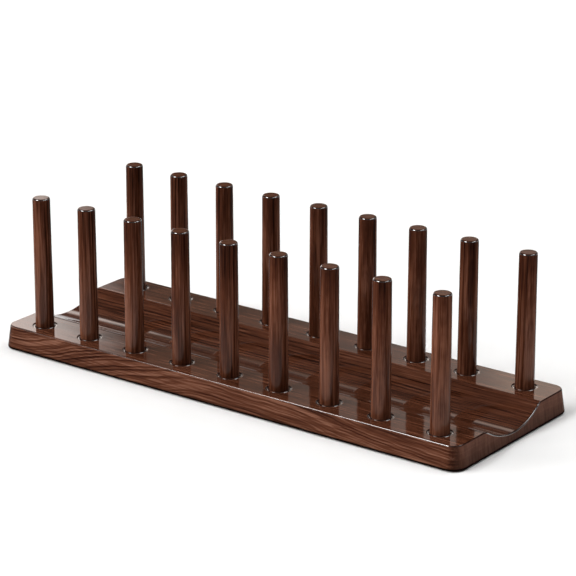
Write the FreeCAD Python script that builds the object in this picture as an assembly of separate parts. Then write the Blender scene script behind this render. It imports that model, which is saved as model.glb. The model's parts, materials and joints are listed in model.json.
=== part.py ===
import FreeCAD, Part
import math
import os

from FreeCAD import Vector

# Vertical dish rack: a long wooden board with a scooped trough, two rows of tapered dowels screwed
# on from below, and rubber pads underneath.
# X runs along the board, the front is -Y, Z is up. The origin is on the table, under the middle.
# All sizes are in millimetres.

# Layout of the dowels
slot_count = 8
slot_pitch = 50.0
end_slot_pitch = 55.5
end_margin = 28.0

# Board, measured on its top face
board_width = 160.0
board_thickness = 20.0
side_lean = 2.9
corner_radius = 10.0
top_edge_radius = 1.2
bottom_edge_radius = 1.0

# Trough: a concave floor that runs into each land over a convex lip
trough_depth = 11.8
trough_radius = 69.0
lip_radius = 12.0

# Dowels, measured from the lands
dowel_height = 114.0
dowel_foot_diameter = 16.0
dowel_top_diameter = 15.0
dowel_top_rounding = 1.5
dowel_end_chamfer = 0.6

# Socket of each dowel and the round-bottomed ring groove about it
socket_depth = 9.0
socket_clearance = 0.1
groove_gap = 0.3
groove_width = 2.3
groove_depth = 0.9
groove_rim_radius = 0.3

# Screws that hold the dowels from below
screw_diameter = 4.0
screw_bite = 16.0
screw_head_diameter = 8.0
screw_head_height = 2.4
screw_head_rounding = 1.4
cross_length = 4.4
cross_width = 1.0
cross_depth = 1.3
screw_head_sink = 2.0
screw_hole_clearance = 0.2
screw_pilot_clearance = 0.05
screw_pilot_spare = 2.0
screw_head_clearance = 0.6

# Rubber pads
pad_diameter = 14.0
pad_thickness = 2.2
pad_proud = 1.0
pad_edge_radius = 0.5
pad_clearance = 0.15

# Length that a cutting solid reaches past what it cuts
overcut = 5.0

# Derived sizes and places
board_length = (slot_count - 1) * slot_pitch + end_slot_pitch + 2 * end_margin
board_bottom = pad_proud
land = board_bottom + board_thickness
lip_offset = trough_radius + lip_radius
trough_half_width = math.sqrt(lip_offset ** 2 - (lip_offset - trough_depth) ** 2)
row_y = (board_width / 2 + trough_half_width) / 2
first_x = end_margin - board_length / 2
dowel_x = [first_x + slot * slot_pitch for slot in range(slot_count)]
dowel_x.append(board_length / 2 - end_margin)
groove_inside = dowel_foot_diameter / 2 + groove_gap
groove_outside = groove_inside + groove_width
socket_floor = land - socket_depth
screw_seat = board_bottom + screw_head_sink + screw_head_height
screw_tip = socket_floor + screw_bite


def turned(points):
    """A solid of revolution about Z. Each item of points is a (radius, height) pair, and a pair of
    such pairs stands for an arc: a point on the way and its end."""
    edges = []
    here = Vector(points[0][0], 0, points[0][1])
    for item in points[1:] + points[:1]:
        if isinstance(item[0], tuple):
            middle, there = [Vector(radius, 0, height) for radius, height in item]
            edges.append(Part.Arc(here, middle, there).toShape())
        else:
            there = Vector(item[0], 0, item[1])
            edges.append(Part.makeLine(here, there))
        here = there
    face = Part.Face(Part.Wire(edges))
    return face.revolve(Vector(0, 0, 0), Vector(0, 0, 1), 360)


def quarter(centre, radius, start_angle):
    """The middle and end points of a quarter arc about centre, in the form that turned() takes."""
    arc = []
    for angle in (start_angle + 45, start_angle + 90):
        turn = math.radians(angle)
        arc.append((centre[0] + radius * math.cos(turn), centre[1] + radius * math.sin(turn)))
    return tuple(arc)


def rounded_outline(length, width, radius, height):
    """A closed rectangle with rounded corners, flat at the given height."""
    x = length / 2 - radius
    y = width / 2 - radius
    arcs = []
    for centre_x, centre_y, angle in ((x, y, 0), (-x, y, 90), (-x, -y, 180), (x, -y, 270)):
        centre = Vector(centre_x, centre_y, height)
        arcs.append(Part.makeCircle(radius, centre, Vector(0, 0, 1), angle, angle + 90))
    edges = []
    for arc, following in zip(arcs, arcs[1:] + arcs[:1]):
        edges.append(arc)
        edges.append(Part.makeLine(arc.lastVertex().Point, following.firstVertex().Point))
    return Part.Wire(edges)


def leaning_block():
    """A block with the board's plan and leaning sides, taller than the board at both faces."""
    wires = []
    for height in (board_bottom - overcut, land + overcut):
        growth = side_lean * (land - height) / board_thickness
        length = board_length + 2 * growth
        width = board_width + 2 * growth
        wires.append(rounded_outline(length, width, corner_radius + growth, height))
    return Part.makeLoft(wires, True, True)


def board_section():
    """The board's cross-section with the trough, extruded past both ends and both sides."""
    side = board_width / 2 + side_lean + overcut
    end = board_length / 2 + side_lean + overcut
    floor_centre = land - trough_depth + trough_radius
    bend = math.asin(trough_half_width / lip_offset)

    def at(y, z):
        return Vector(-end, y, z)

    def on_floor(angle):
        return at(trough_radius * math.sin(angle), floor_centre - trough_radius * math.cos(angle))

    def on_lip(hand, angle):
        y = trough_half_width - lip_radius * math.sin(angle)
        return at(hand * y, land - lip_radius + lip_radius * math.cos(angle))

    edges = [
        Part.makeLine(at(-side, board_bottom), at(-side, land)),
        Part.makeLine(at(-side, land), on_lip(-1, 0)),
        Part.Arc(on_lip(-1, 0), on_lip(-1, bend / 2), on_lip(-1, bend)).toShape(),
        Part.Arc(on_floor(-bend), on_floor(0), on_floor(bend)).toShape(),
        Part.Arc(on_lip(1, bend), on_lip(1, bend / 2), on_lip(1, 0)).toShape(),
        Part.makeLine(on_lip(1, 0), at(side, land)),
        Part.makeLine(at(side, land), at(side, board_bottom)),
        Part.makeLine(at(side, board_bottom), at(-side, board_bottom)),
    ]
    return Part.Face(Part.Wire(edges)).extrude(Vector(2 * end, 0, 0))


def normal_height(face, point):
    """How far a face's outward normal points up, at the point of the face nearest to point."""
    u, v = face.Surface.parameter(point)
    return face.normalAt(u, v).z


def rim_edges(shape, facing):
    """Edges where a side face meets a face that looks up (facing 1) or down (facing -1)."""
    flat = 0.5
    found = []
    for edge in shape.Edges:
        middle = edge.valueAt((edge.FirstParameter + edge.LastParameter) / 2)
        heights = [normal_height(face, middle) for face in shape.ancestorsOfType(edge, Part.Face)]
        is_side = any(abs(height) < flat for height in heights)
        is_facing = any(facing * height > flat for height in heights)
        if is_side and is_facing:
            found.append(edge)
    return found


def socket_cutter():
    """Everything that is bored for one dowel: socket, screw hole and room for the head."""
    socket_radius = dowel_foot_diameter / 2 + socket_clearance
    hole_radius = screw_diameter / 2 + screw_hole_clearance
    head_radius = screw_head_diameter / 2 + screw_head_clearance
    return turned([
        (0, land + overcut),
        (socket_radius, land + overcut),
        (socket_radius, socket_floor),
        (hole_radius, socket_floor),
        (hole_radius, screw_seat),
        (head_radius, screw_seat),
        (head_radius, board_bottom - overcut),
        (0, board_bottom - overcut),
    ])


def groove_cutter():
    """A ring of round section that cuts the groove about one dowel."""
    tool_radius = (groove_width ** 2 / 4 + groove_depth ** 2) / (2 * groove_depth)
    middle = Vector(0, 0, land - groove_depth + tool_radius)
    return Part.makeTorus((groove_inside + groove_outside) / 2, tool_radius, middle)


def groove_rims(shape):
    """The outer circles of the grooves, on the lands."""
    tolerance = 1e-6
    found = []
    for edge in shape.Edges:
        if not isinstance(edge.Curve, Part.Circle):
            continue
        on_land = abs(edge.Curve.Center.z - land) < tolerance
        if on_land and abs(edge.Curve.Radius - groove_outside) < tolerance:
            found.append(edge)
    return found


def at_each_dowel(shape):
    """Copies of a shape at every dowel, the front row first, each row from left to right."""
    return [shape.translated(Vector(x, y, 0)) for y in (-row_y, row_y) for x in dowel_x]


def pad_places():
    """Pad names and places: under each row, half-way along the first and the last slot."""
    places = {}
    for row, y in (("front", -row_y), ("back", row_y)):
        places["foot_pad_" + row + "_left"] = Vector((dowel_x[0] + dowel_x[1]) / 2, y, 0)
        places["foot_pad_" + row + "_right"] = Vector((dowel_x[-2] + dowel_x[-1]) / 2, y, 0)
    return places


def base_board():
    board = board_section().common(leaning_block())
    board = board.makeFillet(top_edge_radius, rim_edges(board, 1))
    board = board.makeFillet(bottom_edge_radius, rim_edges(board, -1))
    pad_seat_radius = pad_diameter / 2 + pad_clearance
    pad_seat = Part.makeCylinder(pad_seat_radius, pad_thickness + overcut, Vector(0, 0, -overcut))
    cutters = at_each_dowel(socket_cutter()) + at_each_dowel(groove_cutter())
    cutters += [pad_seat.translated(place) for place in pad_places().values()]
    board = board.cut(cutters)
    return board.makeFillet(groove_rim_radius, groove_rims(board))


def dowel():
    """One dowel with its straight foot in the socket and a pilot hole for the screw."""
    foot = dowel_foot_diameter / 2
    top = dowel_top_diameter / 2
    top_height = land + dowel_height
    pilot_radius = screw_diameter / 2 + screw_pilot_clearance
    pilot_end = screw_tip + screw_pilot_spare
    return turned([
        (pilot_radius, socket_floor),
        (foot - dowel_end_chamfer, socket_floor),
        (foot, socket_floor + dowel_end_chamfer),
        (foot, land),
        (top, top_height - dowel_top_rounding),
        quarter((top - dowel_top_rounding, top_height - dowel_top_rounding), dowel_top_rounding, 0),
        (0, top_height),
        (0, pilot_end + pilot_radius),
        (pilot_radius, pilot_end),
    ])


def dowel_screw():
    """One pan-head wood screw, head down, with a cross recess in its head and a pointed tip."""
    shank = screw_diameter / 2
    head = screw_head_diameter / 2
    head_bottom = screw_seat - screw_head_height
    screw = turned([
        (0, head_bottom),
        (head - screw_head_rounding, head_bottom),
        quarter((head - screw_head_rounding, head_bottom + screw_head_rounding), screw_head_rounding, 270),
        (head, screw_seat),
        (shank, screw_seat),
        (shank, screw_tip - screw_diameter),
        (0, screw_tip),
    ])
    corner = Vector(-cross_length / 2, -cross_width / 2, head_bottom - overcut)
    slot = Part.makeBox(cross_length, cross_width, overcut + cross_depth, corner)
    across = slot.rotated(Vector(0, 0, 0), Vector(0, 0, 1), 90)
    return screw.cut(slot.fuse(across))


def foot_pad():
    """One round rubber pad with an eased lower edge."""
    radius = pad_diameter / 2
    return turned([
        (0, 0),
        (radius - pad_edge_radius, 0),
        quarter((radius - pad_edge_radius, pad_edge_radius), pad_edge_radius, 270),
        (radius, pad_thickness),
        (0, pad_thickness),
    ])


def export(node, shape):
    shape.exportStep("parts/" + node + ".step")


os.makedirs("parts", exist_ok=True)

export("base_board", base_board())

dowel_names = ["dowel_" + row + "_" + str(place + 1)
               for row in ("front", "back") for place in range(slot_count + 1)]
for name, shape in zip(dowel_names, at_each_dowel(dowel())):
    export(name, shape)

export("dowel_screws", Part.makeCompound(at_each_dowel(dowel_screw())))

for name, place in pad_places().items():
    export(name, foot_pad().translated(place))
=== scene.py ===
import json
import math
from collections import namedtuple

import bpy
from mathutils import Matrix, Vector


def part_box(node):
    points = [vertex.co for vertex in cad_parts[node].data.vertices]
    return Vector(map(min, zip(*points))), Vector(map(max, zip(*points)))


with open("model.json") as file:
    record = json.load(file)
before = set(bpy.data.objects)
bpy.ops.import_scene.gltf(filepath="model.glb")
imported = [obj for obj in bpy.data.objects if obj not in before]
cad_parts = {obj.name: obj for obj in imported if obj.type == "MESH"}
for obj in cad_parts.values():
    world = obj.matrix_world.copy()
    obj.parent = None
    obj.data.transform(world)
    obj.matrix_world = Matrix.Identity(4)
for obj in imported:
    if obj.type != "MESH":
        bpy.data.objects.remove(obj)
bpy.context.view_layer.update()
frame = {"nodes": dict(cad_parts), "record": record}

# Camera fitted to the photograph, in pixels of its frame, degrees and metres
IMAGE_SIDE = 576
FOCAL_PIXELS = 2715.0
CAMERA_AZIMUTH = -53.189
CAMERA_ELEVATION = 19.121
CAMERA_DISTANCE = 2.2261
CAMERA_TARGET = Vector((0.0109, 0.0, 0.0818))
CAMERA_REACH = 50.0
SENSOR_WIDTH_MM = 36.0

# The board's section and the dowels, in metres
LAND_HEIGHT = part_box("base_board")[1].z
DOWEL_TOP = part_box("dowel_front_1")[1].z
TROUGH_DEPTH = 0.0118
TROUGH_RADIUS = 0.069
TROUGH_LIP_RADIUS = 0.012
TROUGH_HALF_WIDTH = math.sqrt(TROUGH_DEPTH * (2 * (TROUGH_RADIUS + TROUGH_LIP_RADIUS) - TROUGH_DEPTH))

# Where painted shade and painted highlights lie, and where lacquer has gathered, in metres
BOTTOM_SHADE_HEIGHTS = (0.0024, 0.0033)  # heights between which the painted shade along the bottom edge ends
END_SHADE_HEIGHTS = (0.001, LAND_HEIGHT)  # heights over which the painted shade on the end grain fades upwards
GROOVE_LIP = (0.0106, 0.0115)  # a dowel's axis to the inside and the outside of its groove's lip
GROOVE_REACH = 0.004  # how far below the lands the painted shade about a dowel goes at most
GROOVE_BRIM = 0.0001  # how far below the lands a groove begins
LAND_EDGE = 0.0014  # how far the rounded ends of the lands reach down
TOP_SHADE = 0.045  # how far the painted shade reaches down from a dowel's top
FOOT_COAT = (0.085, 0.015)  # heights above the lands between which the coat gets glossier

# Growth rings and the lines on the board's sides, in metres
SIDE_RINGS = 0.0026  # from one ring to the next on the board's sides
FACE_RINGS = 0.0034  # the same on its top and underside
DOWEL_RINGS = 0.0026  # the same in the dowels
DOWEL_PITH = 0.18  # how far the dowels' pith is behind the rack's middle
SWEEP_LENGTH = 0.55  # from one crest of the lines to the next
SWEEP_RISE = 0.0166  # how far a crest is above the mean
SWEEP_SLOPE = 0.05  # how far the mean climbs in a metre

# Noises that make the lines waver: waves per metre along and across the grain, and reach in metres
SLOW_SWAY = (10.0, 14.0, 0.014)
QUICK_SWAY = (50.0, 70.0, 0.0025)
DOWEL_SWAY = (9.0, 40.0, 0.004)
FACE_SWAY = 0.35  # the share of the board's waver that its top and underside show

# How fine the wood's patterns are, in waves per metre along the grain and across it
FIBRE_SCALE = (24.0, 900.0)
PORE_SCALE = (90.0, 2600.0)
SWELL_SCALE = (18.0, 60.0)
RAY_SCALE = (0.0, 350.0, 40.0)  # with a value for each way across
WISP_SCALE = 14.0  # along the grain only, since wisps follow the rings
BAND_SCALE = 5.0  # the same for bands
BANDS_PER_RING = 0.2
BAND_OFFSET = 5.0  # sets the bands apart from the wisps

# How fine the patterns of steel and rubber are, in waves per metre along X and across it
BLOOM_SCALE = (900.0, 900.0)
SCRATCH_SCALE = (6000.0, 400.0)
RUBBER_SCALE = (4000.0, 4000.0)
DUST_SCALE = (350.0, 350.0)

# How dark each part of the figure is, from 0 for the lightest tone to 1 for the darkest
LATE_WOOD_DEPTH = 0.43
WISP_DEPTH = (0.0, 0.42)
BAND_DEPTH = (0.03, 0.22)
FIBRE_DEPTH = (0.29, 0.71)
PORE_DEPTH = 0.12
SIDE_DEPTH = 0.08
# FACE_DEPTH darkens the top and the underside: partly a deeper staining, partly painted shade on the top
FACE_DEPTH = 0.36
FACE_CONTRAST = 0.75
# How dark the painted shade makes the dowels, below its reach and at their tops
DOWEL_TOP_SHADE = (-0.05, 0.22)

# What share of another tone the end grain takes, how strong the painted shade on the end grain is, and how
# pale the worn and highlighted places get
END_SHARE = 0.8
RAY_SHARE = 0.25
LOW_END_SHADE = 0.52
UPPER_END_SHADE = 0.8
ASLANT_SHADE = 0.45
WEAR_AND_HIGHLIGHT_SHARE = (0.10, 0.35)

# The clear coat's refractive index on upright faces, and what is added to it elsewhere
SIDE_GLOSS = 1.12
UPPER_GLOSS = 0.28
EDGE_GLOSS = 2.1
GROOVE_GLOSS = 0.8
END_GLOSS = 0.3  # the share of what is added to upper faces that end grain gets

# The clear coat and the relief of the wood under it
COAT_WEIGHT = (0.5, 1.0)  # on upright faces and on upper faces
COAT_ROUGHNESS = 0.06
FIBRE_RELIEF = 0.4  # how high fibres are for pores that are 1 deep
COAT_RELIEF = 0.02  # the share of the relief that shows in the coat

# Ranges of the normal over which a face comes to count as an upper face, and as end grain
FACING_UP = (0.10, 0.30)
END_GRAIN = (0.55, 0.95)

# Lamps and softboxes, with azimuths about +Z from +X, and all angles and sizes in degrees
Lamp = namedtuple("Lamp", "azimuth elevation irradiance width")
Softbox = namedtuple("Softbox", "azimuth elevation width height radiance softness tint")
WHITE = (1.0, 1.0, 1.0)
IVORY = (1.0, 0.89, 0.83)
CREAM = (1.0, 0.68, 0.45)
LAMPS = (
    Lamp(215.0, 60.0, 0.75, 28.0),
    Lamp(216.0, 14.0, 1.80, 24.0),
    Lamp(0.0, 90.0, 1.15, 80.0),
)
SOFTBOXES = (
    Softbox(229.5, 49.0, 20.0, 16.0, 7.0, 0.10, WHITE),
    Softbox(246.0, 48.0, 13.0, 14.0, 9.0, 0.10, WHITE),
    Softbox(355.0, 50.0, 12.0, 12.0, 4.0, 0.10, WHITE),
    Softbox(58.0, 54.0, 40.0, 18.0, 3.2, 0.10, WHITE),
    Softbox(143.5, 12.0, 23.0, 28.0, 3.0, 0.12, IVORY),
    Softbox(103.0, 22.0, 37.0, 7.0, 1.15, 0.40, IVORY),
    Softbox(126.0, 22.0, 8.5, 8.0, 0.15, 0.25, CREAM),
    Softbox(120.6, 21.4, 3.0, 3.0, 0.55, 0.30, CREAM),
)

# The room and the floor, which reaches so many metres each way
HORIZON = (0.05, 0.12)  # sines of the elevations between which the pale horizon ends
HORIZON_GLOW = 1.0
ROOM_GLOW = 0.06
FLOOR_HALF = 8.0
FLOOR_TONE = (0.85, 0.85, 0.845, 1.0)


def linear(red, green, blue):
    """A linear colour from the 0 to 255 values that a screen shows."""
    def channel(value):
        value = value / 255
        return value / 12.92 if value <= 0.04045 else ((value + 0.055) / 1.055) ** 2.4
    return (channel(red), channel(green), channel(blue), 1.0)


class Graph:
    """Adds shader nodes to one material or world. A node's inputs are given by name or by number, as
    values or as the output sockets of other nodes."""

    def __init__(self, owner):
        owner.use_nodes = True
        self.tree = owner.node_tree
        self.tree.nodes.clear()

    def add(self, kind, inputs=None, **settings):
        node = self.tree.nodes.new("ShaderNode" + kind)
        for name, value in settings.items():
            setattr(node, name, value)
        for key, value in (inputs or {}).items():
            self.give(node.inputs[key], value)
        return node

    def give(self, socket, value):
        if isinstance(value, bpy.types.NodeSocket):
            self.tree.links.new(value, socket)
        else:
            socket.default_value = value

    def coordinates(self, output):
        return self.add("TexCoord").outputs[output]

    def math(self, operation, first, second=0.0, clamp=False):
        node = self.add("Math", {0: first, 1: second}, operation=operation, use_clamp=clamp)
        return node.outputs[0]

    def total(self, first, *others):
        for other in others:
            first = self.math("ADD", first, other)
        return first

    def product(self, first, *others):
        for other in others:
            first = self.math("MULTIPLY", first, other)
        return first

    def vector_math(self, operation, first, second=(0.0, 0.0, 0.0)):
        return self.add("VectorMath", {0: first, 1: second}, operation=operation).outputs[0]

    def dot(self, first, second):
        return self.add("VectorMath", {0: first, 1: second}, operation="DOT_PRODUCT").outputs["Value"]

    def length(self, vector):
        return self.add("VectorMath", {0: vector}, operation="LENGTH").outputs["Value"]

    def split(self, vector):
        return self.add("SeparateXYZ", {0: vector}).outputs

    def join(self, x, y, z):
        return self.add("CombineXYZ", {0: x, 1: y, 2: z}).outputs[0]

    def remap(self, value, low, high, to_low=0.0, to_high=1.0, smooth=True):
        node = self.add("MapRange", {0: value, 1: low, 2: high, 3: to_low, 4: to_high})
        node.interpolation_type = "SMOOTHSTEP" if smooth else "LINEAR"
        return node.outputs[0]

    def noise(self, vector, detail=2.0, roughness=0.5):
        inputs = {"Vector": vector, "Scale": 1.0, "Detail": detail, "Roughness": roughness}
        return self.add("TexNoise", inputs).outputs["Fac"]

    def ramp(self, value, stops):
        node = self.add("ValToRGB", {0: value})
        elements = node.color_ramp.elements
        while len(elements) < len(stops):
            elements.new(0.5)
        for element, (position, colour) in zip(elements, stops):
            element.position = position
            element.color = colour
        return node.outputs[0]

    def mix(self, factor, first, second):
        node = self.add("Mix", {"Factor": factor}, data_type="RGBA")
        self.give(node.inputs[6], first)
        self.give(node.inputs[7], second)
        return node.outputs[2]

    def bump(self, height, strength, distance, normal=None):
        inputs = {"Height": height, "Strength": strength, "Distance": distance}
        if normal:
            inputs["Normal"] = normal
        return self.add("Bump", inputs).outputs[0]

    def finish(self, shader, output="OutputMaterial"):
        self.add(output, {"Surface": shader.outputs[0]})


# Figure of the wood

def grain_space(graph, output, grain_axis):
    """Object coordinates, or an object normal, turned so that the grain runs along the first axis."""
    x, y, z = graph.split(graph.coordinates(output))
    return graph.join(x, y, z) if grain_axis == "X" else graph.join(z, y, x)


def stretched(graph, place, along, across):
    """Coordinates scaled to make a pattern that is drawn out along the first axis."""
    return graph.vector_math("MULTIPLY", place, (along, across, across))


def sway(graph, place, along, across, reach):
    """A noise drawn out along the grain, from minus to plus half of reach."""
    noise = graph.noise(stretched(graph, place, along, across), 1.0)
    return graph.product(graph.math("SUBTRACT", noise, 0.5), reach)


def figure(graph, along, rings):
    """How dark the wood is, from 0 to about 1: growth rings with a late wood that some years have more
    of, wisps that follow them for a few centimetres, and broad bands."""
    season = graph.math("FRACT", rings)
    begun = graph.remap(season, 0.10, 0.78)
    ended = graph.remap(season, 0.85, 1.0)
    late = graph.math("SUBTRACT", begun, ended, clamp=True)
    year = graph.math("FLOOR", rings)
    year_tone = graph.add("TexWhiteNoise", {"W": year}, noise_dimensions="1D").outputs["Value"]
    late = graph.product(late, graph.remap(year_tone, 0.0, 1.0, 0.2, 1.0))
    wisp = graph.noise(graph.join(graph.product(along, WISP_SCALE), rings, 0.0), 4.0, 0.65)
    band_rings = graph.product(rings, BANDS_PER_RING)
    band = graph.noise(graph.join(graph.product(along, BAND_SCALE), band_rings, BAND_OFFSET), 2.0)
    return graph.total(
        graph.product(late, LATE_WOOD_DEPTH),
        graph.remap(wisp, 0.38, 0.63, *WISP_DEPTH),
        graph.remap(band, 0.34, 0.66, *BAND_DEPTH),
    )


def board_figure(graph):
    """The sides show sweeping lines that climb along the board and sink again. The top and the underside
    show straight lines along it, and are darker: a deeper staining and, on the top, painted shade."""
    place = grain_space(graph, "Object", "X")
    along, across, height = graph.split(place)
    drift = graph.total(sway(graph, place, *SLOW_SWAY), sway(graph, place, *QUICK_SWAY))

    turn = graph.product(along, 2 * math.pi / SWEEP_LENGTH)
    wave = graph.product(graph.math("COSINE", turn), SWEEP_RISE)
    rise = graph.total(wave, graph.product(along, SWEEP_SLOPE))
    level = graph.total(graph.math("SUBTRACT", height, rise), drift)
    sides = figure(graph, along, graph.math("DIVIDE", level, SIDE_RINGS))
    sides = graph.total(sides, SIDE_DEPTH)

    level = graph.total(across, graph.product(drift, FACE_SWAY))
    faces = figure(graph, along, graph.math("DIVIDE", level, FACE_RINGS))
    faces = graph.total(graph.product(faces, FACE_CONTRAST), FACE_DEPTH)

    upward = graph.split(graph.coordinates("Normal"))[2]
    flatness = graph.remap(graph.math("ABSOLUTE", upward), 0.5, 0.85)
    return graph.total(sides, graph.product(flatness, graph.math("SUBTRACT", faces, sides)))


def dowel_figure(graph):
    """Rings round a pith behind the rack, so that each dowel shows another part of them. Painted shade makes
    the dowels darker towards the tops."""
    place = grain_space(graph, "Object", "Z")
    along, across, aside = graph.split(place)
    drift = sway(graph, place, *DOWEL_SWAY)
    from_pith = graph.join(0.0, graph.math("SUBTRACT", across, DOWEL_PITH), graph.total(aside, drift))
    rings = graph.math("DIVIDE", graph.length(from_pith), DOWEL_RINGS)
    # Painted shade, darker towards the dowel's top
    painted_shade = graph.remap(along, DOWEL_TOP - TOP_SHADE, DOWEL_TOP, *DOWEL_TOP_SHADE)
    return graph.total(figure(graph, along, rings), painted_shade)


# Finish of the wood, with painted shade and painted highlights

def from_dowels(graph, place):
    """How far a place is from the axis of the nearest dowel. The back row stands opposite the front one."""
    x, y, _ = graph.split(place)
    beside = graph.math("ABSOLUTE", y)
    nearest = None
    for name in frame["nodes"]:
        if name.startswith("dowel_front"):
            low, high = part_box(name)
            axis = (low + high) / 2
            offset = graph.join(graph.math("SUBTRACT", x, axis.x), graph.math("ADD", beside, axis.y), 0.0)
            distance = graph.length(offset)
            nearest = graph.math("MINIMUM", distance, nearest) if nearest else distance
    return nearest


class Surface:
    """A point of the wood: its place with the grain along the first axis, its height, how far it is below
    the lands and from the nearest dowel's axis, how far its normal points up, and how squarely the grain
    ends at it. Sunk is how far below the lands it is beside a dowel, and 0 elsewhere."""

    def __init__(self, graph, grain_axis):
        spot = graph.coordinates("Object")
        self.place = grain_space(graph, "Object", grain_axis)
        self.height = graph.split(spot)[2]
        self.below = graph.math("SUBTRACT", LAND_HEIGHT, self.height)
        self.around = from_dowels(graph, spot)
        self.upward = graph.split(graph.coordinates("Normal"))[2]
        self.end = graph.math("ABSOLUTE", graph.split(grain_space(graph, "Normal", grain_axis))[0])
        self.sunk = graph.product(
            graph.math("LESS_THAN", self.around, GROOVE_LIP[1]),
            graph.math("LESS_THAN", self.below, GROOVE_REACH),
            self.below,
        )


def grain_tone(graph, timber, fibre, pore):
    """The colour of the long grain: the figure, with fibres and pores in it."""
    depth = graph.product(graph.math("SUBTRACT", timber.figure(graph), 0.5), timber.contrast)
    depth = graph.total(depth, graph.remap(fibre, 0.30, 0.70, *FIBRE_DEPTH, smooth=False))
    depth = graph.math("ADD", depth, graph.product(pore, PORE_DEPTH), clamp=True)
    return graph.ramp(depth, [(0.08, timber.light), (0.50, timber.middle), (0.95, timber.dark)])


def stain_and_shade_end_grain(graph, surface, timber, base):
    """End grain drinks more of the staining, and more again in fine rays. It is also painted darker as
    shade: low down, along its upper edges, and where a rounded corner cuts it at a slant."""
    square = graph.remap(surface.end, *END_GRAIN)
    base = graph.mix(graph.product(square, END_SHARE), base, timber.end_tone)
    ray = graph.noise(graph.vector_math("MULTIPLY", surface.place, RAY_SCALE), 3.0, 0.6)
    in_rays = graph.remap(ray, 0.42, 0.66, 0.0, RAY_SHARE)
    # Painted shade: the end grain is darker low down
    low_shade = graph.remap(surface.height, *END_SHADE_HEIGHTS, LOW_END_SHADE, 0.0)
    base = graph.mix(graph.product(square, graph.total(in_rays, low_shade)), base, timber.dark)
    # Painted shade along the end grain's upper edges and the dowels' top rims
    upper_end_shade = graph.product(
        graph.remap(surface.end, 0.12, 0.30),
        graph.remap(surface.upward, 0.17, 0.30),
        graph.remap(surface.upward, 0.96, 0.99, UPPER_END_SHADE, 0.0),
    )
    base = graph.mix(upper_end_shade, base, timber.dark)
    # Painted shade where a rounded corner cuts the end grain
    aslant_shade = graph.product(
        graph.remap(surface.end, 0.20, 0.55),
        graph.remap(surface.end, 0.80, 0.97, 1.0, 0.0),
        ASLANT_SHADE,
    )
    return graph.mix(aslant_shade, base, timber.dark)


def bottom_edge_shade(graph, surface):
    """The edges that turn under and the lowest part of the sides, without the flat underside: painted dark
    as the shade where the board meets the floor.
    """
    turned = graph.remap(surface.upward, -0.10, -0.02, 1.0, 0.0)
    low = graph.remap(surface.height, *BOTTOM_SHADE_HEIGHTS, 1.0, 0.0)
    return graph.product(graph.math("MAXIMUM", turned, low), graph.remap(surface.upward, -0.99, -0.95))


def upper_edges(graph, surface):
    """The rounded upper edges, without the grooves' own."""
    return graph.product(
        graph.remap(surface.upward, 0.20, 0.35),
        graph.remap(surface.upward, 0.72, 0.84, 1.0, 0.0),
        graph.math("LESS_THAN", surface.sunk, GROOVE_BRIM),
    )


def wear_and_highlight_places(graph, surface, upper):
    """Where the wood is made paler, partly as wear and partly as a painted highlight: upper edges and the
    grooves' lips, but not end grain.
    """
    inside, outside = GROOVE_LIP
    lips = graph.product(
        graph.math("GREATER_THAN", surface.around, inside),
        graph.math("LESS_THAN", surface.around, outside),
        graph.remap(surface.upward, 0.90, 0.98),
    )
    return graph.product(graph.math("MAXIMUM", upper, lips), graph.remap(surface.end, 0.15, 0.45, 1.0, 0.0))


def coat_gloss(graph, surface, timber, upper, painted_shade):
    """The coat's refractive index. The lacquer has built up in the grooves, towards the dowels' feet, and on
    the upper edges other than the lands' ends."""
    facing_up = graph.product(
        graph.remap(surface.upward, *FACING_UP, 0.0, UPPER_GLOSS),
        graph.remap(surface.end, *END_GRAIN, 1.0, END_GLOSS),
    )
    at_lands = graph.math("LESS_THAN", graph.math("ABSOLUTE", surface.below), LAND_EDGE)
    dull = graph.product(at_lands, graph.remap(surface.end, 0.45, 0.62))
    built_up = graph.product(upper, graph.math("SUBTRACT", 1.0, dull))
    foot_from, foot_to = FOOT_COAT
    return graph.total(
        facing_up,
        SIDE_GLOSS,
        graph.product(built_up, EDGE_GLOSS),
        graph.product(painted_shade, GROOVE_GLOSS),
        graph.remap(surface.below, -foot_from, -foot_to, 0.0, timber.foot_gloss),
    )


def upper_normal(graph):
    """The smooth normal of the lands, lips and trough, where the mesh has long triangles, and the mesh's own
    normal elsewhere."""
    across = graph.split(graph.coordinates("Object"))[1]
    aside = graph.math("ABSOLUTE", across)
    from_land = graph.math("MAXIMUM", graph.math("SUBTRACT", TROUGH_HALF_WIDTH, aside), 0.0)
    on_floor = graph.math("DIVIDE", aside, TROUGH_RADIUS)
    on_lip = graph.math("DIVIDE", from_land, TROUGH_LIP_RADIUS)
    slope = graph.math("MINIMUM", on_floor, on_lip)
    rise = graph.math("SQRT", graph.math("SUBTRACT", 1.0, graph.product(slope, slope)))
    smooth = graph.join(0.0, graph.product(graph.math("SIGN", across), slope, -1.0), rise)
    meshed = graph.coordinates("Normal")
    near = graph.remap(graph.dot(meshed, smooth), 0.93, 0.965)
    gap = graph.vector_math("SUBTRACT", smooth, meshed)
    change = graph.vector_math("MULTIPLY", gap, graph.join(near, near, near))
    return graph.vector_math("NORMALIZE", graph.vector_math("ADD", meshed, change))


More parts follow.
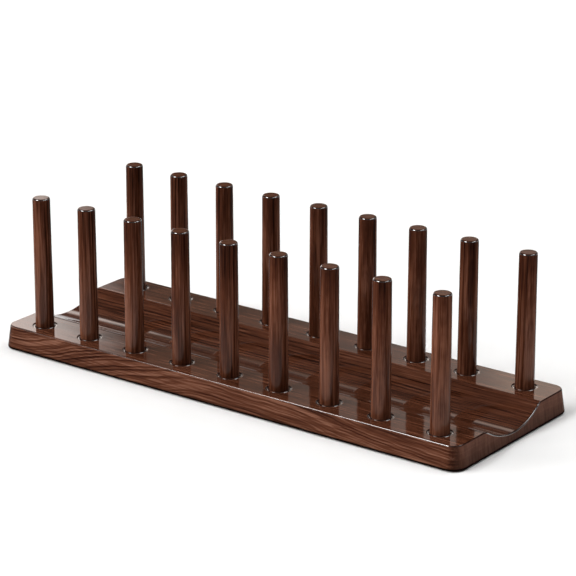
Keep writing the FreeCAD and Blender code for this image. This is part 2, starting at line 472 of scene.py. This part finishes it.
# The two timbers, with painted shade about the dowels from the first depth below the lands to the second, in
# metres
TIMBER_FIELDS = "grain_axis figure normal contrast light middle dark end_tone stained foot_gloss"
Timber = namedtuple("Timber", TIMBER_FIELDS)
BOARD_TIMBER = Timber(
    grain_axis="X",
    figure=board_figure,
    normal=upper_normal,
    contrast=0.78,
    light=linear(126, 86, 68),
    middle=linear(81, 46, 31),
    dark=linear(35, 13, 5),
    end_tone=linear(106, 72, 59),
    stained=(0.0004, 0.0007),
    foot_gloss=0.0,
)
DOWEL_TIMBER = Timber(
    grain_axis="Z",
    figure=dowel_figure,
    normal=None,
    contrast=0.8,
    light=linear(114, 72, 54),
    middle=linear(72, 38, 24),
    dark=linear(31, 11, 5),
    end_tone=linear(80, 46, 28),
    stained=(-0.0003, 0.0002),
    foot_gloss=0.26,
)
# A near-black painted shade along the bottom edges, standing for the shadow where the board meets the floor
BOTTOM_SHADE_TONE = linear(12, 6, 4)


def wood(name, timber):
    """Stained walnut with fine fibres and pores, painted shade and painted highlights, under a clear gloss
    coat that swells a little.
    """
    material = bpy.data.materials.new(name)
    graph = Graph(material)
    surface = Surface(graph, timber.grain_axis)
    fibre = graph.noise(stretched(graph, surface.place, *FIBRE_SCALE), 3.0, 0.6)
    pore = graph.remap(graph.noise(stretched(graph, surface.place, *PORE_SCALE), 1.0), 0.62, 0.72)
    # Painted shade in the grooves about the dowels and on the dowels' feet below the lands
    painted_shade = graph.remap(surface.sunk, *timber.stained)
    # Painted shade along the bottom edges
    bottom_shade = bottom_edge_shade(graph, surface)
    upper = upper_edges(graph, surface)
    # Paler upper edges and groove lips: partly wear, partly a painted highlight
    wear_and_highlight = graph.product(wear_and_highlight_places(graph, surface, upper), graph.remap(fibre, 0.3, 0.7, *WEAR_AND_HIGHLIGHT_SHARE))

    base = grain_tone(graph, timber, fibre, pore)
    base = stain_and_shade_end_grain(graph, surface, timber, base)
    base = graph.mix(painted_shade, base, timber.dark)
    base = graph.mix(bottom_shade, base, BOTTOM_SHADE_TONE)
    base = graph.mix(wear_and_highlight, base, timber.light)

    normal = timber.normal(graph) if timber.normal else None
    relief = graph.math("SUBTRACT", graph.product(fibre, FIBRE_RELIEF), pore)
    swell = graph.noise(stretched(graph, surface.place, *SWELL_SCALE))
    lacquer = graph.total(swell, graph.product(relief, COAT_RELIEF))
    coat = graph.remap(surface.upward, *FACING_UP, *COAT_WEIGHT)
    shader = graph.add("BsdfPrincipled", {
        "Base Color": base,
        "Roughness": graph.remap(fibre, 0.2, 0.8, 0.40, 0.55, smooth=False),
        "Specular IOR Level": 0.0,
        "Normal": graph.bump(relief, 0.25, 0.0002, normal),
        # The coat is left off the painted shade along the bottom edges
        "Coat Weight": graph.product(coat, graph.math("SUBTRACT", 1.0, bottom_shade)),
        "Coat Roughness": COAT_ROUGHNESS,
        "Coat IOR": coat_gloss(graph, surface, timber, upper, painted_shade),
        "Coat Normal": graph.bump(lacquer, 0.10, 0.001, normal),
    })
    graph.finish(shader)
    return material


# Steel and rubber

def steel(name):
    """Zinc-plated steel with fine scratches and a duller bloom."""
    bright = (0.55, 0.54, 0.50, 1.0)
    dull = (0.36, 0.36, 0.35, 1.0)
    material = bpy.data.materials.new(name)
    graph = Graph(material)
    place = graph.coordinates("Object")
    bloom = graph.noise(stretched(graph, place, *BLOOM_SCALE), 3.0)
    scratch = graph.noise(stretched(graph, place, *SCRATCH_SCALE))
    graph.finish(graph.add("BsdfPrincipled", {
        "Base Color": graph.mix(graph.remap(bloom, 0.35, 0.7), bright, dull),
        "Metallic": 1.0,
        "Roughness": graph.remap(bloom, 0.3, 0.7, 0.22, 0.42),
        "Normal": graph.bump(scratch, 0.15, 0.0001),
    }))
    return material


def rubber(name):
    """Matt black rubber with a fine grain and a little dust."""
    clean = (0.018, 0.018, 0.018, 1.0)
    dusty = (0.06, 0.057, 0.053, 1.0)
    material = bpy.data.materials.new(name)
    graph = Graph(material)
    place = graph.coordinates("Object")
    grain = graph.noise(stretched(graph, place, *RUBBER_SCALE))
    dust = graph.noise(stretched(graph, place, *DUST_SCALE), 3.0)
    graph.finish(graph.add("BsdfPrincipled", {
        "Base Color": graph.mix(graph.remap(dust, 0.45, 0.8), clean, dusty),
        "Roughness": graph.remap(grain, 0.3, 0.7, 0.7, 0.9),
        "Specular IOR Level": 0.3,
        "Normal": graph.bump(grain, 0.3, 0.0002),
    }))
    return material


def dress_nodes():
    """Gives each node the material of its slot in the record."""
    finishes = {
        "board_wood": wood("walnut_board", BOARD_TIMBER),
        "dowel_wood": wood("walnut_dowel", DOWEL_TIMBER),
        "screw_steel": steel("plated_steel"),
        "pad_rubber": rubber("black_rubber"),
    }
    for subpart in frame["record"]["subparts"]:
        piece = frame["nodes"][subpart["node"]]
        slot = subpart["material_slot"]
        piece.data.materials.clear()
        piece.data.materials.append(finishes[slot])


# Studio

def make_floor():
    """A plain pale floor, far wider than the view."""
    corners = [
        (-FLOOR_HALF, -FLOOR_HALF, 0),
        (FLOOR_HALF, -FLOOR_HALF, 0),
        (FLOOR_HALF, FLOOR_HALF, 0),
        (-FLOOR_HALF, FLOOR_HALF, 0),
    ]
    mesh = bpy.data.meshes.new("floor")
    mesh.from_pydata(corners, [], [(0, 1, 2, 3)])
    floor = bpy.data.objects.new("floor", mesh)
    bpy.context.scene.collection.objects.link(floor)
    material = bpy.data.materials.new("pale_floor")
    graph = Graph(material)
    graph.finish(graph.add("BsdfPrincipled", {
        "Base Color": FLOOR_TONE,
        "Roughness": 0.9,
        "Specular IOR Level": 0.1,
    }))
    mesh.materials.append(material)


def bearing(azimuth, elevation):
    """A direction from degrees about +Z from +X, and degrees above the floor."""
    azimuth = math.radians(azimuth)
    elevation = math.radians(elevation)
    flat = math.cos(elevation)
    return Vector((flat * math.cos(azimuth), flat * math.sin(azimuth), math.sin(elevation)))


def make_lamps():
    """Wide lamps that light the wood and, as polarised ones do, leave no glare on it."""
    for lamp in LAMPS:
        data = bpy.data.lights.new("lamp", "SUN")
        data.energy = lamp.irradiance
        data.angle = math.radians(lamp.width)
        source = bpy.data.objects.new("lamp", data)
        bpy.context.scene.collection.objects.link(source)
        source.rotation_mode = "QUATERNION"
        source.rotation_quaternion = (-bearing(lamp.azimuth, lamp.elevation)).to_track_quat("-Z", "Y")
        source.visible_glossy = False


def softbox_light(graph, direction, box):
    """What comes from a far rectangular softbox in each direction."""
    centre = bearing(box.azimuth, box.elevation)
    sideways = bearing(box.azimuth + 90, 0)
    upwards = centre.cross(sideways)
    facing = graph.dot(direction, centre)
    glow = graph.remap(facing, 0.0, 0.1, 0.0, box.radiance)
    for axis, size in ((sideways, box.width), (upwards, box.height)):
        half = math.tan(math.radians(size / 2))
        offset = graph.math("ABSOLUTE", graph.math("DIVIDE", graph.dot(direction, axis), facing))
        inside = graph.remap(offset, half * (1 - box.softness), half * (1 + box.softness), 1.0, 0.0)
        glow = graph.product(glow, inside)
    return graph.vector_math("MULTIPLY", graph.join(glow, glow, glow), box.tint)


def make_world():
    """A dim room with a pale horizon, and softboxes and reflectors round the part."""
    world = bpy.data.worlds.new("studio")
    graph = Graph(world)
    direction = graph.coordinates("Generated")
    glow = graph.remap(graph.split(direction)[2], *HORIZON, HORIZON_GLOW, ROOM_GLOW)
    light = graph.join(glow, glow, glow)
    for box in SOFTBOXES:
        light = graph.vector_math("ADD", light, softbox_light(graph, direction, box))
    graph.finish(graph.add("Background", {"Color": light, "Strength": 1.0}), "OutputWorld")
    bpy.context.scene.world = world


def make_camera():
    """The photograph's camera, aimed at its target with no roll."""
    back = bearing(CAMERA_AZIMUTH, CAMERA_ELEVATION)
    data = bpy.data.cameras.new("camera")
    data.sensor_width = SENSOR_WIDTH_MM
    data.lens = FOCAL_PIXELS / IMAGE_SIDE * SENSOR_WIDTH_MM
    data.clip_end = CAMERA_REACH
    camera = bpy.data.objects.new("camera", data)
    bpy.context.scene.collection.objects.link(camera)
    camera.location = CAMERA_TARGET + back * CAMERA_DISTANCE
    camera.rotation_mode = "QUATERNION"
    camera.rotation_quaternion = (-back).to_track_quat("-Z", "Y")
    bpy.context.scene.camera = camera


dress_nodes()
make_floor()
make_lamps()
make_world()
make_camera()
bpy.context.scene.view_settings.view_transform = "Standard"
